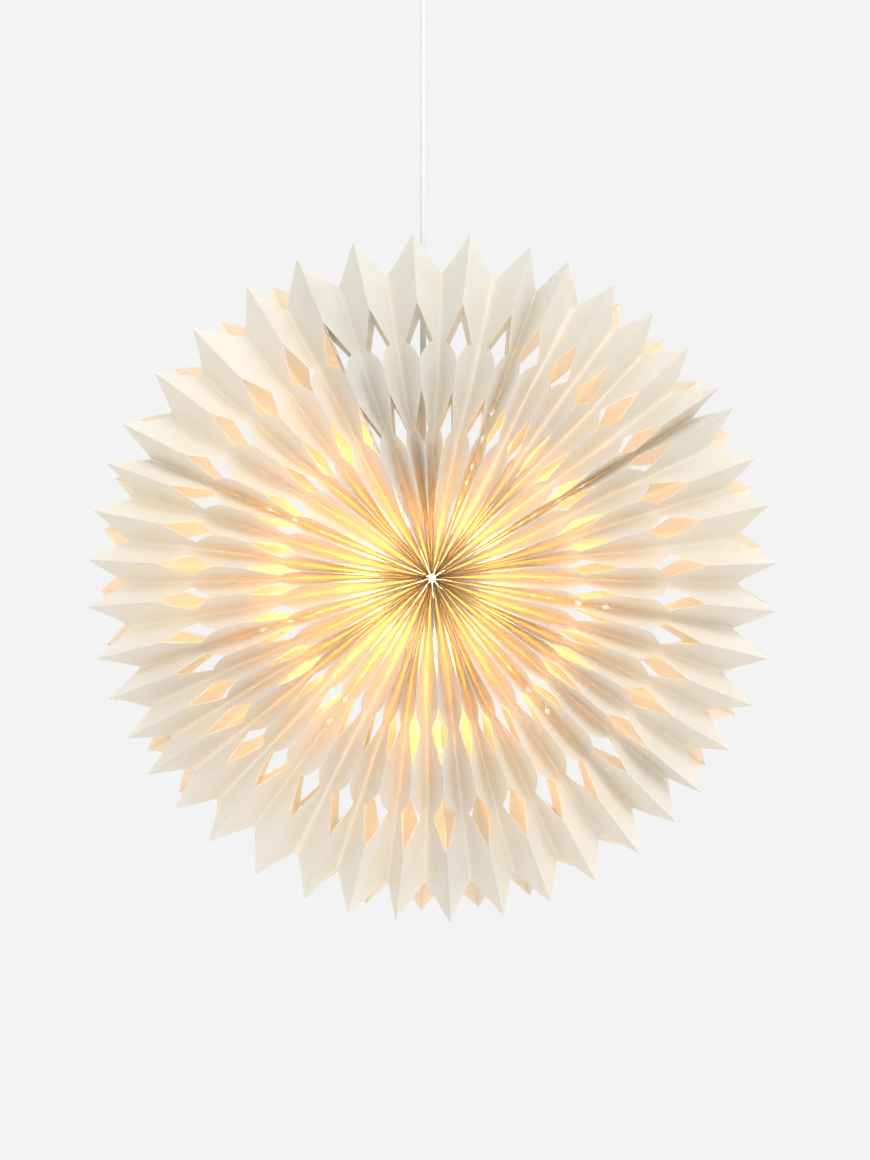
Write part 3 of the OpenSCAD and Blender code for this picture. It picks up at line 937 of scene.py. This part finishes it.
    def thickened(self, name: str, sheet: bpy.types.Mesh) -> bpy.types.Object:
        """Gives a sheet the paper's thickness.

        Args:
            name: the new piece's name.
            sheet: the folded sheet.

        Returns:
            A closed piece, smooth on its faces and sharp at its folds and cut edges.
        """
        piece = new_object(name, sheet)
        solid = piece.modifiers.new("thickness", "SOLIDIFY")
        solid.thickness = self.thickness
        solid.offset = 0.0
        solid.use_rim = True
        graph = bpy.context.evaluated_depsgraph_get()
        closed = bpy.data.meshes.new_from_object(piece.evaluated_get(graph))
        piece.modifiers.clear()
        piece.data = closed
        bpy.data.meshes.remove(sheet)
        closed.shade_smooth()
        closed.set_sharp_from_angle(angle=self.crease_angle)
        return piece

    def hinge_on(self, piece: bpy.types.Object, bag: Bag) -> None:
        """Hangs the sides of the bag that holds the cord on that bag's body; every other side stays where it
        is, on no body.

        Args:
            piece: the pleated side.
            bag: its bag.
        """
        if bag.holds_cord:
            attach(piece, bag.body_after)
            return
        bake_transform(piece)

    def build(self) -> None:
        """Makes all eighteen pleated sides."""
        for bag in self.bags:
            for side in Side:
                word = side.name.lower()
                piece = self.thickened(f"pleated_{word}_{bag.number}", FoldedSheet(self, bag, side).mesh())
                self.palette.dress(piece, Finish.PAPER)
                self.hinge_on(piece, bag)
                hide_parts(f"{word}_pleats_{bag.number}")
                log.info("%s: %d faces", piece.name, len(piece.data.polygons))


class FoldedSheet:
    """One side of one bag: a single sheet without thickness, whole across its folds and open at its cuts.

    Strips are numbered from the bag's first leaf. Where the side starts with a ridge, a flap before the first
    strip and one after the last reach down to the leaves. Columns run across a strip from valley to ridge.
    """

    def __init__(self, fan: PleatedBags, bag: Bag, side: Side) -> None:
        """Places the folds on every ring.

        Args:
            fan: the fan that the bag is in.
            bag: the bag.
            side: its front or its rear.
        """
        self.fan = fan
        self.bag = bag
        self.side = side
        self.strays = fan.strays(bag, side)
        self.radii = fan.radii[side]
        self.places = [fan.fold_places(bag, side, r, self.strays.lean) for r in self.radii]
        self.points: list[Vector] = []
        self.numbers: dict[tuple, int] = {}

    def folds_of(self, strip: int) -> tuple[int, int]:
        """The numbers of the valley and the ridge between which a strip lies."""
        return (strip + 1, strip) if self.bag.falls(self.side, strip) else (strip, strip + 1)

    def is_flap(self, strip: int) -> bool:
        """Whether a strip is one of the two flaps at the leaves."""
        return strip in (-1, self.fan.strips)

    def place(self, ring: int, strip: int, share: float) -> Vector:
        """Where a point of the sheet lies.

        Args:
            ring: the ring's number, from the hub outwards.
            strip: the strip's number.
            share: how far across the strip it is, from its valley to its ridge.

        Returns:
            The point.
        """
        fan, strays, r = self.fan, self.strays, self.radii[ring]
        valley, ridge = self.folds_of(strip)
        top = self.places[ring][ridge]
        if self.is_flap(strip):
            foot = fan.clear_of(r) if strip == -1 else r * (self.bag.end - self.bag.start) - fan.clear_of(r)
            bend = fan.flap_bend
            low = fan.valley_y - fan.flap_drop
        else:
            foot = self.places[ring][valley]
            bend = min(fan.most_bend, fan.valley_round / max(fan.least_strip, abs(top - foot)))
            low = fan.valley_y
        curve = math.sqrt(share * share + bend * bend) - bend
        rise = curve / (math.sqrt(1 + bend * bend) - bend)
        phase, turns = strays.waves[strip + 1]
        swell = strays.bows[strip + 1] * math.sin(math.pi * share) * math.sin(turns * r + phase)
        swell *= smooth(abs(top - foot), *fan.bow_widths)
        s = foot + (top - foot) * share + swell
        y = self.side.value * (low + (strays.ridges[ridge] - low) * rise)
        angle = self.bag.start + s / r
        return Vector((r * math.sin(angle), y, r * math.cos(angle))) + fan.hub

    def corner(self, ring: int, strip: int, column: int) -> int:
        """Finds a point of the sheet, and makes it if it is new.

        Args:
            ring: the ring's number, from the hub outwards.
            strip: the strip's number.
            column: the column's number.

        Returns:
            The point's number. Two strips share it where they meet at a fold that isn't cut.
        """
        fan, r = self.fan, self.radii[ring]
        kept, cut = fan.cuts.kept_share(r, self.side), fan.cuts.cut_share(r)
        valley, ridge = self.folds_of(strip)
        key: tuple = (ring, strip, column)
        if column == len(fan.columns) - 1 and kept == 1.0:
            key = (ring, "ridge", ridge)
        elif column == 0 and cut == 0.0 and not self.is_flap(strip):
            key = (ring, "valley", valley)
        if key not in self.numbers:
            if self.is_flap(strip) or valley in (0, fan.strips):
                cut = max(cut, fan.cuts.punch_share(r, fan.half_depth - fan.valley_y))
            self.numbers[key] = len(self.points)
            self.points.append(self.place(ring, strip, cut + (kept - cut) * fan.columns[column]))
        return self.numbers[key]

    def mesh(self) -> bpy.types.Mesh:
        """Joins the points into faces that look outwards.

        Returns:
            The sheet.
        """
        fan = self.fan
        strips = range(0, fan.strips) if self.bag.starts_low(self.side) else range(-1, fan.strips + 1)
        faces = []
        for ring in range(len(self.radii) - 1):
            for strip in strips:
                backwards = self.bag.falls(self.side, strip) != (self.side is Side.REAR)
                for column in range(len(fan.columns) - 1):
                    loop = [self.corner(ring, strip, column), self.corner(ring, strip, column + 1),
                            self.corner(ring + 1, strip, column + 1), self.corner(ring + 1, strip, column)]
                    faces.append(loop[::-1] if backwards else loop)
        mesh = bpy.data.meshes.new(f"{self.side.name.lower()}_sheet_{self.bag.number}")
        mesh.from_pydata(self.points, [], faces)
        mesh.validate()
        return mesh


@dataclass
class LeafWalls:
    """The punched leaves between the bags, the two stiff ones at the seam, and what holds the seam shut."""

    palette: Palette
    glued: int = 8

    def build(self) -> None:
        """Dresses the leaves and the seam's pads."""
        self.palette.dress_nodes(Finish.PAPER, *[f"leaf_{n}" for n in range(1, self.glued + 1)])
        self.palette.dress_nodes(Finish.CARD, "end_leaf_left", "end_leaf_right")
        self.palette.dress_nodes(Finish.FASTENER_TAPE, "seam_hook_pads", "seam_loop_pads")


# ---------- The lamp ----------


@dataclass
class LampHolder:
    """The screw lamp holder with its shade ring, and the wire hanger that carries the star on it."""

    palette: Palette

    def build(self) -> None:
        """Dresses the holder's mouldings, contacts and wire."""
        self.palette.dress_nodes(Finish.THIN_PLASTIC, "holder_skirt", "shade_ring")
        self.palette.dress_nodes(Finish.WHITE_PLASTIC, "holder_cap", "cord_grip")
        self.palette.dress_nodes(Finish.INSERT_PLASTIC, "holder_insert")
        self.palette.dress_nodes(Finish.BRASS, "thread_shell", "centre_contact")
        self.palette.dress_nodes(Finish.PLATED_STEEL, "grip_screw")
        self.palette.dress_nodes(Finish.STEEL_WIRE, "star_hanger")


@dataclass
class Bulb:
    """The lit bulb, which is the star's only lamp."""

    palette: Palette

    def build(self) -> None:
        """Dresses the bulb's glass, cap and inner works."""
        self.palette.dress_nodes(Finish.BULB_GLASS, "bulb_glass")
        self.palette.dress_nodes(Finish.BULB_METAL, "bulb_cap", "bulb_contact")
        self.palette.dress_nodes(Finish.BULB_BLACK_GLASS, "bulb_insulator")
        self.palette.dress_nodes(Finish.STEM_GLASS, "bulb_stem")
        self.palette.dress_nodes(Finish.FILAMENT, "filament")


# ---------- The cord and the ceiling ----------


@dataclass
class SupplyCord:
    """The round cord, taut between the lamp's cord grip and the clamp at the ceiling. Metres."""

    palette: Palette
    diameter: float = 0.006
    roundness: int = 8
    heights: tuple[float, ...] = (
        -0.569, -0.540, -0.500, -0.460, -0.420, -0.380, -0.340, -0.300, -0.260, -0.220,
        -0.180, -0.140, -0.100, -0.060, -0.028,
    )
    fitting: tuple[str, ...] = (
        "ceiling_cup", "cup_grommet", "ceiling_plate", "cord_clamp", "clamp_screws",
        "terminal_block", "terminal_screws",
    )

    def build(self) -> None:
        """Makes the cord."""
        curve = bpy.data.curves.new("pendant_cord", "CURVE")
        curve.dimensions = "3D"
        curve.bevel_depth = self.diameter / 2
        curve.bevel_resolution = self.roundness
        curve.use_fill_caps = True
        line = curve.splines.new("POLY")
        line.points.add(len(self.heights) - 1)
        for point, z in zip(line.points, self.heights):
            point.co = (0.0, 0.0, z, 1.0)
        piece = new_object("pendant_cord", curve)
        self.palette.dress(piece, Finish.CORD_SHEATH)
        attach(piece, "cord_line")
        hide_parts("cord")


@dataclass
class CeilingFitting:
    """The cup at the ceiling and what it hides: plate, cord clamp and terminal block."""

    palette: Palette

    def build(self) -> None:
        """Dresses the fitting's parts."""
        self.palette.dress_nodes(Finish.WHITE_PLASTIC, "ceiling_cup", "cup_grommet", "cord_clamp",
                                 "terminal_block")
        self.palette.dress_nodes(Finish.GALVANISED_STEEL, "ceiling_plate")
        self.palette.dress_nodes(Finish.PLATED_STEEL, "clamp_screws", "terminal_screws")


# ---------- The studio ----------


@dataclass
class Studio:
    """Camera, floor and soft light. Metres, and watts for the lights."""

    distance: float = 4.0
    frame_height: float = 1.16
    sensor: float = 36.0
    aim_right: float = 0.0031
    aim_down: float = 0.002
    floor_z: float = -2.0
    floor_r: float = 2.4
    floor_sides: int = 96
    floor_dark: Colour = (0.84, 0.84, 0.84)
    floor_light: Colour = (0.87, 0.87, 0.87)
    floor_marks: Grain = Grain(3.0, 4.0, 0.5)
    floor_rough: Span = (0.6, 0.75)
    backdrop: Colour = (0.896, 0.896, 0.896)
    fill: Colour = (0.87, 0.87, 0.87 * 1.01)
    key_place: Triple = (0.9, -2.6, 1.5)
    key_size: float = 1.6
    key_watts: float = 34.0

    def make_camera(self) -> None:
        """Stands the camera in front of the star, level with its hub."""
        hub = joint_place("fold_1")
        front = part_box("front_pleats_1")[0].y
        data = bpy.data.cameras.new("camera")
        data.sensor_width = self.sensor
        data.lens = self.sensor * self.distance / self.frame_height
        data.dof.use_dof = False
        camera = new_object("camera", data)
        camera.location = (hub.x + self.aim_right, front - self.distance, hub.z - self.aim_down)
        camera.rotation_euler = (math.pi / 2, 0.0, 0.0)
        bpy.context.scene.camera = camera

    def make_floor(self) -> None:
        """Lays a plain pale floor, well below the star."""
        turns = [math.tau * n / self.floor_sides for n in range(self.floor_sides)]
        ring = [(self.floor_r * math.cos(turn), self.floor_r * math.sin(turn), self.floor_z)
                for turn in turns]
        mesh = bpy.data.meshes.new("floor")
        mesh.from_pydata(ring, [], [list(range(self.floor_sides))])
        floor = new_object("floor", mesh)
        s = Shader("pale_floor")
        marks = s.noise(self.floor_marks)
        mesh.materials.append(s.done(s.surface({
            "Base Color": s.tint(marks, self.floor_dark, self.floor_light),
            "Roughness": s.between(marks, self.floor_rough)})))

    def make_world(self) -> None:
        """Surrounds the star with an even pale light, which the camera sees as a plain backdrop."""
        world = bpy.data.worlds.new("studio")
        world.use_nodes = True
        tree = world.node_tree
        tree.nodes.clear()
        seen = tree.nodes.new("ShaderNodeBackground")
        seen.inputs["Color"].default_value = (*self.backdrop, 1.0)
        around = tree.nodes.new("ShaderNodeBackground")
        around.inputs["Color"].default_value = (*self.fill, 1.0)
        path = tree.nodes.new("ShaderNodeLightPath")
        mix = tree.nodes.new("ShaderNodeMixShader")
        output = tree.nodes.new("ShaderNodeOutputWorld")
        tree.links.new(path.outputs["Is Camera Ray"], mix.inputs[0])
        tree.links.new(around.outputs[0], mix.inputs[1])
        tree.links.new(seen.outputs[0], mix.inputs[2])
        tree.links.new(mix.outputs[0], output.inputs["Surface"])
        bpy.context.scene.world = world

    def hang_softbox(self) -> None:
        """Hangs a square soft white light that faces the star, above and to the right of the camera."""
        data = bpy.data.lights.new("key_softbox", "AREA")
        data.shape = "SQUARE"
        data.size = self.key_size
        data.energy = self.key_watts
        light = new_object("key_softbox", data)
        hub = joint_place("fold_1")
        light.location = hub + Vector(self.key_place)
        light.rotation_euler = (hub - light.location).to_track_quat("-Z", "Y").to_euler()

    def build(self) -> None:
        """Makes the floor, the surrounding light and the softbox."""
        self.make_floor()
        self.make_world()
        self.hang_softbox()
        scene = bpy.context.scene
        scene.view_settings.view_transform = "Standard"
        scene.view_settings.look = "None"


def main() -> None:
    """Builds every sub-assembly in order."""
    logging.basicConfig(level=logging.INFO, format="%(name)s: %(message)s")
    palette = Palette()
    studio = Studio()
    studio.make_camera()
    SupplyCord(palette).build()
    CeilingFitting(palette).build()
    LampHolder(palette).build()
    Bulb(palette).build()
    LeafWalls(palette).build()
    PleatedBags(palette).build()
    studio.build()


if __name__ == "__main__":
    main()
